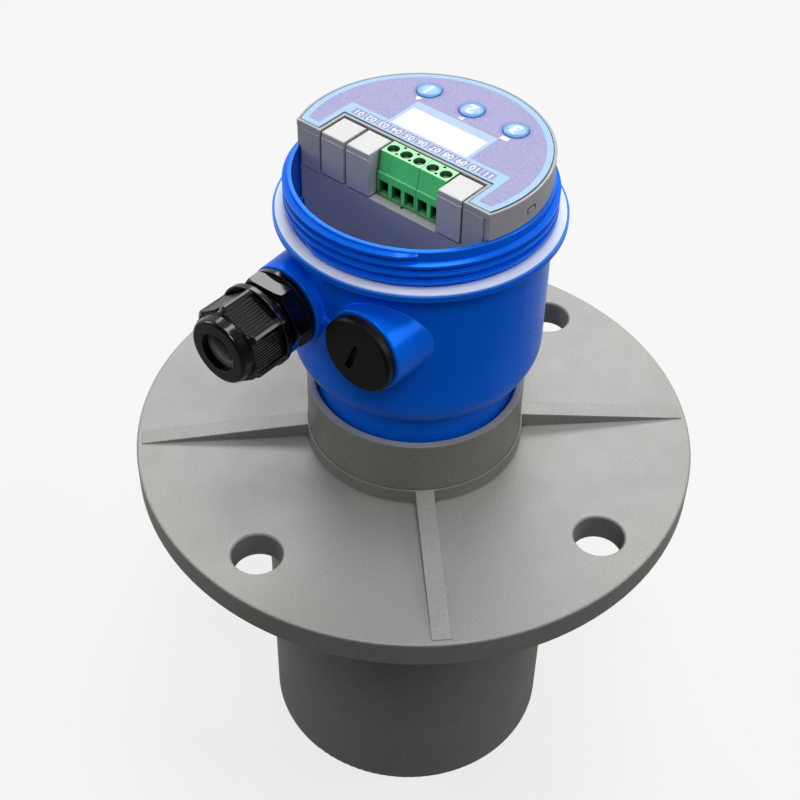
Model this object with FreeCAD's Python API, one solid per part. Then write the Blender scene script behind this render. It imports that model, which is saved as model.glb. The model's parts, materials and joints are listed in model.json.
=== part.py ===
import FreeCAD
import Part
import math
import os

# Ultrasonic level sensor with a pipe flange, a blue terminal housing and an electronics module.
# Millimetres, +Z up the sensor's axis. The origin is the centre of the flange's sealing face,
# its underside. The cable entries and the terminals face -Y, and the row of terminals runs
# along +X from position 1 to position 11.

V = FreeCAD.Vector
UP = V(0, 0, 1)
OUT = V(0, -1, 0)

# Driving dimensions

# Mounting flange
flange_radius = 98.0
flange_thickness = 10.0
flange_edge_round = 0.8
bolt_edge_margin = 9.5
bolt_hole_radius = 8.5
bolt_hole_count = 4
bolt_hole_chamfer = 0.5
hub_ledge = 0.5
hub_height = 6.0
rib_count = 4
rib_first_angle = 45.0
rib_width = 6.2
rib_height = 6.0
rib_end_gap = 2.0
rib_end_height = 0.3
horn_recess = 1.0
horn_recess_play = 0.7
horn_register_step = 0.7

# Sensor body, the large cup below the flange with its neck through it
horn_radius = 53.5
horn_length = 133.0
horn_wall = 4.0
horn_top_wall = 8.0
horn_edge_round = 1.2
neck_radius = 37.4
neck_top = 36.0
neck_wall = 3.2
neck_seat = 18.0
neck_passage_radius = 24.0
neck_rim_chamfer = 0.9
flange_bond = 0.1

# Transducer inside the sensor body
face_thickness = 11.6
face_recess = 0.4
face_clearance = 0.3
piezo_radius = 25.0
piezo_thickness = 10.0
backing_length = 19.0
sleeve_wall = 3.8
potting_top = -30.0
potting_clearance = 0.2
probe_radius = 2.5
probe_length = 14.0
probe_offset = 34.0
lead_radius = 2.2
lead_offset = 8.0

# Housing
housing_radius = 41.9
housing_wall = 2.7
corner_radius = 13.3
corner_top = 58.0
housing_top = 119.2
collar_step = 0.4
collar_wall = 1.4
rim_chamfer = 0.25
ledge_reach = 4.5
ledge_top = 106.4
ledge_side = 1.9
ledge_slope = 3.2
gasket_groove = 1.6
lip_width = 0.6
spigot_clearance = 0.3
shoulder_height = 100.0
floor_hole_radius = 12.0

# Cable bosses on the housing
boss_radius = 13.8
boss_draft = 2.5
boss_spacing = 32.3
boss_offset = 0.65
boss_height = 84.0
boss_reach = 3.1
boss_edge_round = 0.5
entry_bore_radius = 10.0
web_thickness = 2.2
web_setback = 2.0

# Seals
gasket_thickness = 1.9
gasket_fit = 0.1
ring_section = 1.8
ring_height = 27.0
entry_gasket_thickness = 0.8
entry_gasket_radius = 12.6

# Cable gland
thread_clearance = 0.08
gland_flange_radius = 13.4
gland_flange_width = 1.8
gland_hex_flats = 24.0
gland_hex_angle = 2.0
gland_hex_length = 5.8
gland_hex_rear_cut = 1.5
gland_hex_front_cut = 1.1
gland_stem_length = 9.8
gland_bore_radius = 6.2
gland_thread_length = 9.6
gland_claw_length = 6.4
gland_claw_count = 8
gland_claw_slot = 1.1
gland_claw_radius = 9.2
seal_bore_radius = 4.9
seal_wall = 3.4
seal_length = 12.7
seal_clearance = 0.2
nut_gap = 3.1
nut_length = 18.1
nut_ring_radius = 14.1
nut_ring_width = 2.2
nut_hex_flats = 24.6
nut_hex_angle = 36.0
nut_corner_radius = 13.9
nut_grip_length = 11.9
nut_corner_cut = 1.4
nut_pocket_width = 10.6
nut_pocket_depth = 0.85
nut_rib_count = 9
nut_rib_height = 0.75
nut_rib_width = 0.5
nut_rib_setback = 1.3
nut_nose_radius = 11.4
nut_tip_radius = 10.9
nut_tip_round = 1.2
nut_hole_radius = 6.6
nut_lip = 2.5
nut_cone_length = 3.0

# Blanking plug
plug_head_radius = 12.8
plug_head_width = 2.7
plug_edge = 0.7
plug_stem_length = 8.8
plug_wall = 2.4
plug_slot_length = 11.4
plug_slot_width = 2.3
plug_slot_depth = 1.8
plug_slot_angle = 68.0
plug_slot_offset = 1.5
plug_slot_drop = 1.3

# Electronics module
module_top = 128.7
module_bottom = 74.0
module_front = 15.5
module_lip_overhang = 1.0
module_lip_gap = 0.2
module_mouth_play = 0.4
module_bore_play = 0.4
module_wall = 1.8
module_roof = 2.0
notch_half_width = 28.0
notch_back = 4.0
shelf_top = 113.0
shelf_thickness = 2.0
panel_border = 2.0
panel_depth = 0.3
snap_width = 4.2
snap_height = 2.2
snap_depth = 0.6
snap_angle = 1.5
snap_level = 122.3
base_thickness = 2.0
base_clearance = 0.1
lead_hole_radius = 3.0

# Label, window and keys
label_rim = 0.9
label_thickness = 0.25
label_inset = 1.1
window_half_width = 15.4
window_front = 2.2
window_key_gap = 3.75
window_fit = 0.15
window_flange = 1.2
key_radius = 4.05
key_spacing = 17.2
key_row_inset = 13.0
key_fit = 0.2
key_stand = 0.6
key_dome = 0.35
key_flange = 1.1
key_flange_thickness = 0.8
key_stem_radius = 1.6
key_travel = 0.5

# Boards inside the module
display_board_top = 119.6
board_thickness = 1.6
board_clearance = 0.5
post_radius = 4.0
spigot_radius = 2.4
post_side_inset = 6.8
post_side_y = 12.0
post_rear_x = 8.6
post_rear_inset = 7.8
ear_post_inset = 4.4
ear_post_y = 8.0
main_board_top = 109.0
board_screw_radius = 1.25
board_screw_head = 2.5
board_screw_head_height = 1.4
board_screw_length = 5.0
switch_size = 6.0
switch_height = 3.4
plunger_radius = 1.7
plunger_fit = 0.08
plunger_depth = 1.6
plunger_stand = 0.9
lcd_width = 35.0
lcd_margin = 1.3
lcd_glass_height = 2.8
lcd_gap = 0.2
lcd_front = -0.9
header_length = 10.2
header_width = 2.5
socket_length = 8.0
socket_width = 6.0
socket_height = 7.0
transformer_size = 15.0
transformer_height = 12.0
transformer_x = 19.0
transformer_y = 14.0
capacitor_radius = 5.0
capacitor_length = 12.5
capacitor_x = -19.0
capacitor_y = 14.0
chip_size = 12.0
chip_height = 1.5
chip_y = 12.0

# Terminals
pitch = 5.08
position_count = 11
terminal_top = 128.4
terminal_back = 4.3
terminal_top_front = 10.5
terminal_slope_foot = 11.6
terminal_lower_front = 12.2
terminal_step = 121.8
terminal_step_round = 0.3
terminal_joint = 0.08
terminal_floor = 0.6
screw_line = 7.65
screw_hole_radius = 1.95
screw_head_radius = 1.75
screw_head_height = 1.8
screw_head_bevel = 0.25
screw_slot_width = 0.6
screw_slot_depth = 0.8
screw_seat = 124.9
screw_seat_wall = 0.6
screw_radius = 1.45
screw_fit = 0.1
cell_half_width = 2.0
cell_front = 9.85
cell_back = 4.95
entry_half_width = 1.87
entry_low = 113.9
entry_high = 118.9
clamp_size = 3.6
clamp_low = 113.9
clamp_high = 120.6
clamp_side = 0.6
clamp_nut = 1.6
clamp_floor = 0.7
contact_width = 2.0
contact_thickness = 0.8
contact_leg = 0.6
contact_gap = 0.2
contact_nose = 8.95
pin_radius = 0.6
pin_reach = 1.4
dimple_radius = 0.5
dimple_depth = 1.2
dimple_front_inset = 1.25
dimple_back_inset = 0.75

# Blank covers over the unused positions
blank_gap = 1.1
blank_top_gap = 0.1
blank_rear_gap = 0.9
blank_lift = 0.5
blank_wall = 1.2
blank_peg_radius = 1.1
blank_peg_fit = 0.15
blank_edge_round = 0.4

# Sizes that follow from the ones above

flange_top = flange_thickness
hub_radius = neck_radius + hub_ledge
bolt_circle_radius = flange_radius - bolt_hole_radius - bolt_edge_margin
neck_bore_radius = neck_radius - neck_wall
hub_top = flange_top + hub_height
horn_bottom = -horn_length
cavity_radius = horn_radius - horn_wall
face_bottom = horn_bottom + face_recess
face_top = face_bottom + face_thickness
backing_bottom = face_top + piezo_thickness
backing_top = backing_bottom + backing_length
spigot_outer_radius = neck_bore_radius - spigot_clearance
corner_centre = housing_radius - corner_radius
inner_corner = corner_radius - housing_wall
housing_underside = corner_top - corner_radius
housing_floor = corner_top - inner_corner
bore_radius = housing_radius - housing_wall
collar_radius = housing_radius - collar_step
mouth_radius = collar_radius - collar_wall
ledge_radius = housing_radius + ledge_reach
groove_floor = ledge_top - gasket_groove
gland_x = -boss_spacing / 2.0 - boss_offset
plug_x = boss_spacing / 2.0 - boss_offset
boss_face = housing_radius + boss_reach
screw_pitch = 1.5
gland_seat = boss_face + entry_gasket_thickness
gland_hex_start = gland_seat + gland_flange_width
gland_hex_end = gland_hex_start + gland_hex_length
gland_claw_start = gland_hex_end + gland_stem_length
gland_end = gland_claw_start + gland_claw_length
nut_start = gland_hex_end + nut_gap
nut_end = nut_start + nut_length
seal_radius = seal_bore_radius + seal_wall
module_upper_radius = mouth_radius - module_mouth_play
module_lower_radius = bore_radius - module_bore_play
module_lip_radius = module_upper_radius + module_lip_overhang
label_radius = module_lip_radius - label_rim
module_roof_under = module_top - module_roof
key_row = module_lower_radius - module_wall - key_row_inset
window_back = key_row - key_radius - window_key_gap
lcd_depth = window_back + lcd_margin - lcd_front
post_side_x = module_lower_radius - post_side_inset
post_rear_y = module_lower_radius - post_rear_inset
ear_post_x = module_lower_radius - module_wall - ear_post_inset
header_row = post_rear_y
shelf_under = shelf_top - shelf_thickness
display_board_under = display_board_top - board_thickness
main_board_under = main_board_top - board_thickness
blank_width = 2.0 * pitch - blank_gap
key_top = module_top + label_thickness + key_stand


# Basic forms

def block(x0, x1, y0, y1, z0, z1):
    """A rectangular block between two corners."""
    return Part.makeBox(x1 - x0, y1 - y0, z1 - z0, V(x0, y0, z0))


def turned(outline):
    """A solid of revolution about Z. The outline is a list of (radius, height) corners."""
    corners = [V(r, 0, z) for r, z in outline]
    wire = Part.makePolygon(corners + corners[:1])
    return Part.Face(wire).revolve(V(0, 0, 0), UP, 360)


def tube(outer, inner, z0, z1):
    """A plain ring about Z."""
    return turned([(inner, z0), (outer, z0), (outer, z1), (inner, z1)])


def rod(radius, z0, z1, x=0.0, y=0.0):
    """An upright rod."""
    return Part.makeCylinder(radius, z1 - z0, V(x, y, z0), UP)


def entry_form(solid, x):
    """Lays a form that is made along +Z over, so that it points out along -Y at a cable entry."""
    placed = solid.copy()
    placed.rotate(V(0, 0, 0), V(1, 0, 0), 90)
    placed.translate(V(x, 0, boss_height))
    return placed


def fused(first, *others):
    """One clean solid from several that overlap."""
    return first.fuse(list(others)).removeSplitter()


def rounded_at(solid, radius, wanted):
    """Rounds the edges that the test picks."""
    edges = [edge for edge in solid.Edges if wanted(edge)]
    return solid.makeFillet(radius, edges)


def is_ring(edge, radius, height):
    """True for a full circle about Z of this radius at this height."""
    box = edge.BoundBox
    flat = box.ZLength < 0.001 and abs(box.ZMin - height) < 0.001
    return flat and abs(box.XMax - radius) < 0.01 and abs(box.XMin + radius) < 0.01


def save(name, shape):
    shape.exportStep("parts/" + name + ".step")


# Flange and sensor body

def mounting_flange():
    """The moulded disc with its hub ring, four tapered ribs and four bolt holes."""
    disc = rod(flange_radius, 0, flange_top)
    disc = rounded_at(disc, flange_edge_round, lambda e: is_ring(e, flange_radius, e.BoundBox.ZMin))
    hub = rod(hub_radius, 0, hub_top)
    ribs = []
    rib_start = neck_radius - 1.0
    rib_end = flange_radius - rib_end_gap
    for i in range(rib_count):
        side = Part.makePolygon([
            V(rib_start, 0, flange_top - 1.0),
            V(rib_end, 0, flange_top - 1.0),
            V(rib_end, 0, flange_top + rib_end_height),
            V(hub_radius, 0, flange_top + rib_height),
            V(rib_start, 0, flange_top + rib_height),
            V(rib_start, 0, flange_top - 1.0)])
        rib = Part.Face(side).extrude(V(0, rib_width, 0))
        rib.translate(V(0, -rib_width / 2.0, 0))
        rib.rotate(V(0, 0, 0), UP, rib_first_angle + i * 360.0 / rib_count)
        ribs.append(rib)
    body = fused(disc, hub, *ribs)
    cuts = [rod(neck_radius + flange_bond, -1.0, hub_top + 1.0),
            rod(horn_radius + horn_recess_play, -1.0, horn_recess)]
    for i in range(bolt_hole_count):
        angle = math.radians(i * 360.0 / bolt_hole_count)
        x = bolt_circle_radius * math.cos(angle)
        y = bolt_circle_radius * math.sin(angle)
        hole = rod(bolt_hole_radius, -1.0, flange_top + 1.0)
        top = Part.makeCone(bolt_hole_radius, bolt_hole_radius + bolt_hole_chamfer,
                            bolt_hole_chamfer, V(0, 0, flange_top - bolt_hole_chamfer))
        for cutter in (hole, top):
            cutter.translate(V(x, y, 0))
            cuts.append(cutter)
    return body.cut(cuts)


def sensor_body():
    """The grey cup that holds the transducer, with the neck that passes up through the flange."""
    chamfer = neck_rim_chamfer
    body = turned([
        (cavity_radius, horn_bottom),
        (horn_radius, horn_bottom),
        (horn_radius, 0),
        (horn_radius - horn_register_step, 0),
        (horn_radius - horn_register_step, horn_recess),
        (neck_radius, horn_recess),
        (neck_radius, neck_top),
        (neck_bore_radius + chamfer, neck_top),
        (neck_bore_radius, neck_top - chamfer),
        (neck_bore_radius, neck_seat),
        (neck_passage_radius, neck_seat),
        (neck_passage_radius, -horn_top_wall),
        (cavity_radius, -horn_top_wall)])
    return rounded_at(body, horn_edge_round, lambda e: is_ring(e, horn_radius, horn_bottom))


def radiating_face():
    """The matching layer that closes the cup and sends the sound down."""
    return rod(cavity_radius - face_clearance, face_bottom, face_top)


def piezo_disc():
    return rod(piezo_radius, face_top, backing_bottom)


def backing_block():
    return rod(piezo_radius, backing_bottom, backing_top)


def decoupling_sleeve():
    """The foam liner between the transducer and the wall of the cup."""
    outer = cavity_radius - face_clearance
    return tube(outer, outer - sleeve_wall, face_top, potting_top)


def potting():
    """The cast resin, with the pockets that it leaves round what it holds."""
    outer = cavity_radius - face_clearance - sleeve_wall - potting_clearance
    body = rod(outer, face_top, potting_top)
    cuts = [
        rod(piezo_radius + potting_clearance, face_top - 1.0, backing_top),
        rod(lead_radius + potting_clearance, backing_top - 1.0, potting_top + 1.0, 0, lead_offset),
        rod(probe_radius + potting_clearance, face_top - 1.0, face_top + probe_length, probe_offset)]
    return body.cut(cuts)


def temperature_probe():
    return rod(probe_radius, face_top, face_top + probe_length, probe_offset)


def transducer_lead():
    """The screened lead from the transducer up through the neck to the module's socket."""
    return rod(lead_radius, backing_top, main_board_under - socket_height, 0, lead_offset)


# Housing

def housing_outer():
    """The outside of the blue cup as one revolved outline."""
    drop = math.sqrt(corner_radius ** 2 - (spigot_outer_radius - corner_centre) ** 2)
    neck_start = V(spigot_outer_radius, 0, corner_top - drop)
    corner_start = V(housing_radius, 0, corner_top)
    turn = 0.5 * math.acos((spigot_outer_radius - corner_centre) / corner_radius)
    middle = V(corner_centre + corner_radius * math.cos(turn), 0,
               corner_top - corner_radius * math.sin(turn))
    ledge_under = ledge_top - ledge_side
    points = [
        corner_start,
        V(housing_radius, 0, ledge_under - ledge_slope),
        V(ledge_radius, 0, ledge_under),
        V(ledge_radius, 0, ledge_top),
        V(ledge_radius - lip_width, 0, ledge_top),
        V(ledge_radius - lip_width, 0, groove_floor),
        V(collar_radius, 0, groove_floor),
        V(collar_radius, 0, housing_top - rim_chamfer),
        V(collar_radius - rim_chamfer, 0, housing_top),
        V(0, 0, housing_top),
        V(0, 0, neck_seat),
        V(spigot_outer_radius, 0, neck_seat),
        neck_start]
    edges = [Part.Arc(neck_start, middle, corner_start).toShape()]
    for a, b in zip(points, points[1:]):
        edges.append(Part.LineSegment(a, b).toShape())
    return Part.Face(Part.Wire(edges)).revolve(V(0, 0, 0), UP, 360)


def housing_inner():
    """The hollow of the cup, down to its floor, with the shoulder that carries the module."""
    points = [
        V(bore_radius, 0, corner_top),
        V(bore_radius, 0, shoulder_height),
        V(mouth_radius, 0, shoulder_height),
        V(mouth_radius, 0, housing_top + 1.0),
        V(0, 0, housing_top + 1.0),
        V(0, 0, housing_floor),
        V(corner_centre, 0, housing_floor)]
    turn = math.radians(45.0)
    middle = V(corner_centre + inner_corner * math.cos(turn), 0,
               corner_top - inner_corner * math.sin(turn))
    edges = [Part.Arc(points[-1], middle, points[0]).toShape()]
    for a, b in zip(points, points[1:]):
        edges.append(Part.LineSegment(a, b).toShape())
    return Part.Face(Part.Wire(edges)).revolve(V(0, 0, 0), UP, 360)


def housing():
    """The blue moulding: cup, collar for the cover, gasket ledge, two cable bosses and the web."""
    boss_root = boss_radius + boss_face * math.tan(math.radians(boss_draft))
    boss = turned([(0, 0), (boss_root, 0), (boss_radius, boss_face), (0, boss_face)])
    boss = rounded_at(boss, boss_edge_round, lambda e: is_ring(e, boss_radius, boss_face))
    bosses = [entry_form(boss, x) for x in (gland_x, plug_x)]
    web = block(gland_x, plug_x, -boss_face + web_setback, 0,
                boss_height - web_thickness / 2.0, boss_height + web_thickness / 2.0)
    body = fused(housing_outer(), web, *bosses)
    spigot_bore = spigot_outer_radius - housing_wall
    groove = tube(spigot_outer_radius + 1.0, ring_seat_radius(), ring_height - gasket_fit,
                  ring_height + ring_section + gasket_fit)
    cuts = [housing_inner(), rod(spigot_bore, neck_seat - 1.0, housing_underside),
            rod(floor_hole_radius, housing_underside - 1.0, housing_floor + 1.0), groove]
    for x in (gland_x, plug_x):
        cuts.append(entry_form(rod(entry_bore_radius, 1.0, boss_face + 1.0), x))
    return body.cut(cuts)


def ring_seat_radius():
    """The bottom of the groove that the neck ring sits in."""
    return neck_bore_radius - ring_section - gasket_fit


def neck_ring():
    """The square sealing ring between the housing's spigot and the neck."""
    half_fit = gasket_fit / 2.0
    return tube(neck_bore_radius - half_fit, ring_seat_radius() + half_fit, ring_height,
                ring_height + ring_section)


def cover_gasket():
    """The flat white ring that the cover would press on."""
    return tube(ledge_radius - lip_width - gasket_fit, collar_radius + gasket_fit,
                groove_floor, groove_floor + gasket_thickness)


# Cable gland, made along +Z and laid over

def entry_gasket(x):
    return entry_form(tube(entry_gasket_radius, entry_bore_radius, boss_face, gland_seat), x)


def hexagon(flats, turn, z0, z1):
    """A hexagonal prism about Z, with a corner at the given angle."""
    corner = flats / math.sqrt(3.0)
    points = []
    for i in range(7):
        angle = math.radians(turn + 60.0 * i)
        points.append(V(corner * math.cos(angle), corner * math.sin(angle), z0))
    return Part.Face(Part.makePolygon(points)).extrude(V(0, 0, z1 - z0))


def gland_body():
    """Threaded stem, washer face, hexagon and the slotted claw that closes on the seal."""
    stem_radius = entry_bore_radius - thread_clearance
    corner = gland_hex_flats / math.sqrt(3.0)
    rear_cut = gland_hex_rear_cut
    front_cut = gland_hex_front_cut
    slope = math.tan(math.radians(30.0))
    flange = rod(gland_flange_radius, gland_seat, gland_hex_start)
    grip = hexagon(gland_hex_flats, gland_hex_angle, gland_hex_start, gland_hex_end)
    grip = grip.common(turned([
        (0, gland_hex_start),
        (corner - rear_cut, gland_hex_start),
        (corner, gland_hex_start + rear_cut * slope),
        (corner, gland_hex_end - front_cut * slope),
        (corner - front_cut, gland_hex_end),
        (0, gland_hex_end)]))
    stem = turned([
        (0, boss_face - gland_thread_length),
        (stem_radius - 0.8, boss_face - gland_thread_length),
        (stem_radius, boss_face - gland_thread_length + 0.8),
        (stem_radius, gland_claw_start),
        (gland_claw_radius, gland_claw_start),
        (gland_claw_radius, gland_end),
        (0, gland_end)])
    body = fused(flange, grip, stem)
    pocket_radius = seal_radius + seal_clearance
    pocket_floor = gland_end - gland_claw_length - gland_stem_length + 2.0
    cuts = [rod(gland_bore_radius, boss_face - gland_thread_length - 1.0, gland_end + 1.0),
            rod(pocket_radius, pocket_floor, gland_end + 1.0)]
    for i in range(gland_claw_count // 2):
        slot = block(-gland_claw_radius - 1.0, gland_claw_radius + 1.0, -gland_claw_slot / 2.0,
                     gland_claw_slot / 2.0, gland_claw_start, gland_end + 1.0)
        slot.rotate(V(0, 0, 0), UP, i * 360.0 / gland_claw_count)
        cuts.append(slot)
    return entry_form(body.cut(cuts), gland_x)


def gland_seal():
    """The rubber sleeve that grips the cable."""
    front = nut_end - nut_lip - 0.4
    edge = 1.2
    sleeve = turned([
        (seal_bore_radius, front - seal_length),
        (seal_radius, front - seal_length),
        (seal_radius, front - edge),
        (seal_radius - edge, front),
        (seal_bore_radius + 0.5, front),
        (seal_bore_radius, front - 0.8)])
    return entry_form(sleeve, gland_x)


def nut_grip(start):
    """The nut's hexagon: rounded corners, and in each flat a row of ribs that ends at the nose."""
    end = start + nut_grip_length
    half_flats = nut_hex_flats / 2.0
    floor_radius = half_flats - nut_pocket_depth
    envelope = turned([
        (0, start - 1.0),
        (nut_corner_radius, start - 1.0),
        (nut_corner_radius, end - nut_corner_cut),
        (half_flats, end),
        (0, end)])
    grip = hexagon(nut_hex_flats, nut_hex_angle, start - 0.5, end).common(envelope)
    half = nut_pocket_width / 2.0
    rib_step = (nut_pocket_width - nut_rib_width) / (nut_rib_count + 1)
    pockets = []
    ribs = []
    for i in range(6):
        turn = nut_hex_angle + 30.0 + 60.0 * i
        pocket = block(floor_radius, nut_corner_radius, -half, half, start, end + 1.0)
        pocket.rotate(V(0, 0, 0), UP, turn)
        pockets.append(pocket)
        for k in range(nut_rib_count):
            y = -half + (k + 1) * rib_step
            rib = block(floor_radius - 0.3, floor_radius + nut_rib_height, y, y + nut_rib_width,
                        start + nut_rib_setback, end)
            rib.rotate(V(0, 0, 0), UP, turn)
            ribs.append(rib)
    return grip.cut(pockets).fuse(ribs)


def gland_nut():
    """The gland's nut: a collar ring, the ribbed hexagon and a plain nose with a rounded rim."""
    grip_start = nut_start + nut_ring_width
    grip_end = grip_start + nut_grip_length
    ring = rod(nut_ring_radius, nut_start, grip_start)
    ring = rounded_at(ring, 0.4, lambda e: is_ring(e, nut_ring_radius, e.BoundBox.ZMin))
    nose = turned([
        (0, grip_end - 1.0),
        (nut_nose_radius, grip_end - 1.0),
        (nut_nose_radius, grip_end),
        (nut_tip_radius, nut_end),
        (0, nut_end)])
    nose = rounded_at(nose, nut_tip_round, lambda e: is_ring(e, nut_tip_radius, nut_end))
    body = ring.fuse([nut_grip(grip_start), nose]).removeSplitter()
    inner_radius = entry_bore_radius
    cone_end = nut_end - nut_lip
    cone_start = cone_end - nut_cone_length
    hollow = turned([
        (0, nut_start - 1.0),
        (inner_radius, nut_start - 1.0),
        (inner_radius, cone_start),
        (nut_hole_radius + 0.6, cone_end),
        (nut_hole_radius, cone_end),
        (nut_hole_radius, nut_end + 1.0),
        (0, nut_end + 1.0)])
    return entry_form(body.cut(hollow), gland_x)


def dome(radius, face_radius, z0, z1):
    """A solid cap that rounds over from a cylinder to a flat end face."""
    height = z1 - z0
    bulge = radius - face_radius
    turn = math.radians(45.0)
    start = V(radius, 0, z0)
    middle = V(face_radius + bulge * math.cos(turn), 0, z0 + height * math.sin(turn))
    end = V(face_radius, 0, z1)
    edges = [Part.Arc(start, middle, end).toShape()]
    corners = [end, V(0, 0, z1), V(0, 0, z0), start]
    for a, b in zip(corners, corners[1:]):
        edges.append(Part.LineSegment(a, b).toShape())
    return Part.Face(Part.Wire(edges)).revolve(V(0, 0, 0), UP, 360)


def blanking_plug():
    """The slotted plug that closes the second entry, hollow from the inside."""
    stem_radius = entry_bore_radius - thread_clearance
    head_top = gland_seat + plug_head_width
    stem_end = boss_face - plug_stem_length
    body = turned([
        (0, stem_end),
        (stem_radius - 0.8, stem_end),
        (stem_radius, stem_end + 0.8),
        (stem_radius, gland_seat),
        (plug_head_radius, gland_seat),
        (plug_head_radius, head_top - plug_edge),
        (plug_head_radius - plug_edge, head_top),
        (0, head_top)])
    hollow = rod(stem_radius - plug_wall, stem_end - 1.0, gland_seat - plug_wall / 2.0)
    end = (plug_slot_length - plug_slot_width) / 2.0
    low = head_top - plug_slot_depth
    slot = block(-end, end, -plug_slot_width / 2.0, plug_slot_width / 2.0, low, head_top + 1.0)
    slot = slot.fuse([rod(plug_slot_width / 2.0, low, head_top + 1.0, -end),
                      rod(plug_slot_width / 2.0, low, head_top + 1.0, end)])
    slot.rotate(V(0, 0, 0), UP, plug_slot_angle)
    slot.translate(V(-plug_slot_offset, -plug_slot_drop, 0))
    return entry_form(body.cut([hollow, slot]), plug_x)


# Electronics module

def half_disc(radius, front, z0, z1):
    """A disc with one flat side that faces -Y."""
    return rod(radius, z0, z1).common(block(-radius, radius, -front, radius, z0, z1))


def key_places():
    return [-key_spacing, 0.0, key_spacing]


def position_x(number):
    """The place along X of a numbered terminal position, counted from 1."""
    return (number - (position_count + 1) / 2.0) * pitch


def post_places():
    """The two pairs of stepped posts under the roof."""
    places = []
    for side in (-1, 1):
        places.append((side * post_side_x, post_side_y))
        places.append((side * post_rear_x, post_rear_y))
    return places


def blank_centres():
    """The middle of each pair of positions that a blank covers."""
    return [(position_x(n) + position_x(n + 1)) / 2.0 for n in (1, 3, 10)]


def front_panel(x0, x1, z0, z1):
    """A shallow recess across a front face that leaves a band above it."""
    return block(x0, x1, -module_front - 1.0, -module_front + panel_depth, z0, z1 - panel_border)


def module_case():
    """The grey case: a half round cup, open below, with the terminal notch and its shelf."""
    lip_under = housing_top + module_lip_gap
    outer = fused(
        half_disc(module_lip_radius, module_front, lip_under, module_top),
        half_disc(module_upper_radius, module_front, shoulder_height, lip_under),
        half_disc(module_lower_radius, module_front, module_bottom, shoulder_height))
    inner_radius = module_lower_radius - module_wall
    hollow = half_disc(inner_radius, module_front - module_wall, module_bottom - 1.0,
                       module_roof_under)
    guard = block(-notch_half_width - module_wall, notch_half_width + module_wall,
                  -module_front - 1.0, -notch_back + module_wall, shelf_under, module_top + 1.0)
    posts = []
    for x, y in post_places():
        posts.append(rod(post_radius, display_board_top, module_roof_under + 0.5, x, y))
        posts.append(rod(spigot_radius, main_board_top, display_board_top + 0.5, x, y))
    for side in (-1, 1):
        posts.append(rod(spigot_radius, main_board_top, module_roof_under + 0.5,
                         side * ear_post_x, -ear_post_y))
    keep = half_disc(module_lower_radius - 0.2, module_front - 0.2, main_board_top, module_top - 0.2)
    posts = [post.common(keep) for post in posts]
    body = outer.cut(hollow.cut(guard))
    body = body.fuse(posts)
    notch = block(-notch_half_width, notch_half_width, -module_front - 1.0, -notch_back,
                  shelf_top, module_top + 1.0)
    cuts = [notch]
    cuts.append(block(-window_half_width, window_half_width, window_front, window_back,
                      module_roof_under - 1.0, module_top + 1.0))
    for x in key_places():
        cuts.append(rod(key_radius + key_fit, module_roof_under - 1.0, module_top + 1.0, x, key_row))
    for x, y in screw_places():
        cuts.append(rod(board_screw_radius + 0.05, main_board_top - 1.0,
                        main_board_top + board_screw_length + 0.3, x, y))
    for number in used_positions():
        cuts.append(rod(pin_radius + 0.2, shelf_under - 1.0, shelf_top + 1.0,
                        position_x(number), -pin_line()))
    for x in blank_centres():
        cuts.append(rod(blank_peg_radius + blank_peg_fit, shelf_under - 1.0, shelf_top + 1.0,
                        x, -blank_peg_line()))
    for side in (-1, 1):
        ear = sorted([side * notch_half_width, side * module_lip_radius])
        cuts.append(front_panel(ear[0], ear[1], shelf_top, module_top))
    snap = block(module_lip_radius - snap_depth, module_lip_radius + 1.0,
                 -snap_width / 2.0, snap_width / 2.0, snap_level, snap_level + snap_height)
    for angle in (snap_angle, 180.0 - snap_angle):
        pocket = snap.copy()
        pocket.rotate(V(0, 0, 0), UP, angle)
        cuts.append(pocket)
    return body.cut(cuts).removeSplitter()


def screw_places():
    """Where the board screws go up into the posts."""
    places = post_places()
    for side in (-1, 1):
        places.append((side * ear_post_x, -ear_post_y))
    return places


def module_base():
    """The plate that closes the module from below, with the hole for the lead."""
    radius = module_lower_radius - module_wall - base_clearance
    front = module_front - module_wall - base_clearance
    plate = half_disc(radius, front, module_bottom, module_bottom + base_thickness)
    return plate.cut(rod(lead_hole_radius, module_bottom - 1.0,
                         module_bottom + base_thickness + 1.0, 0, lead_offset))


def label_film():
    """The printed film on the roof, cut back round the notch, the window and the keys."""
    z0 = module_top
    z1 = module_top + label_thickness
    film = half_disc(label_radius, module_front - label_inset, z0, z1)
    half = notch_half_width + label_inset
    cuts = [block(-half, half, -module_front - 1.0, -notch_back + label_inset, z0 - 1.0, z1 + 1.0)]
    cuts.append(block(-window_half_width, window_half_width, window_front, window_back,
                      z0 - 1.0, z1 + 1.0))
    for x in key_places():
        cuts.append(rod(key_radius + key_fit, z0 - 1.0, z1 + 1.0, x, key_row))
    return film.cut(cuts)


def display_window():
    """The clear pane, held from below by its flange."""
    fit = window_fit
    pane = block(-window_half_width + fit, window_half_width - fit, window_front + fit,
                 window_back - fit, module_roof_under - 0.1, module_top + label_thickness)
    grow = window_flange
    flange = block(-window_half_width - grow, window_half_width + grow, window_front - grow,
                   window_back + grow, module_roof_under - 0.5, module_roof_under)
    return fused(pane, flange)


def lcd_box(z0, z1):
    """A block of the display's plan size."""
    return block(-lcd_width / 2.0, lcd_width / 2.0, lcd_front, lcd_front + lcd_depth, z0, z1)


def lcd_glass():
    top = module_roof_under - 0.5 - lcd_gap
    return lcd_box(top - lcd_glass_height, top)


def lcd_backlight():
    """The light box that carries the glass on the board."""
    top = module_roof_under - 0.5 - lcd_gap - lcd_glass_height
    return lcd_box(display_board_top, top)


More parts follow.
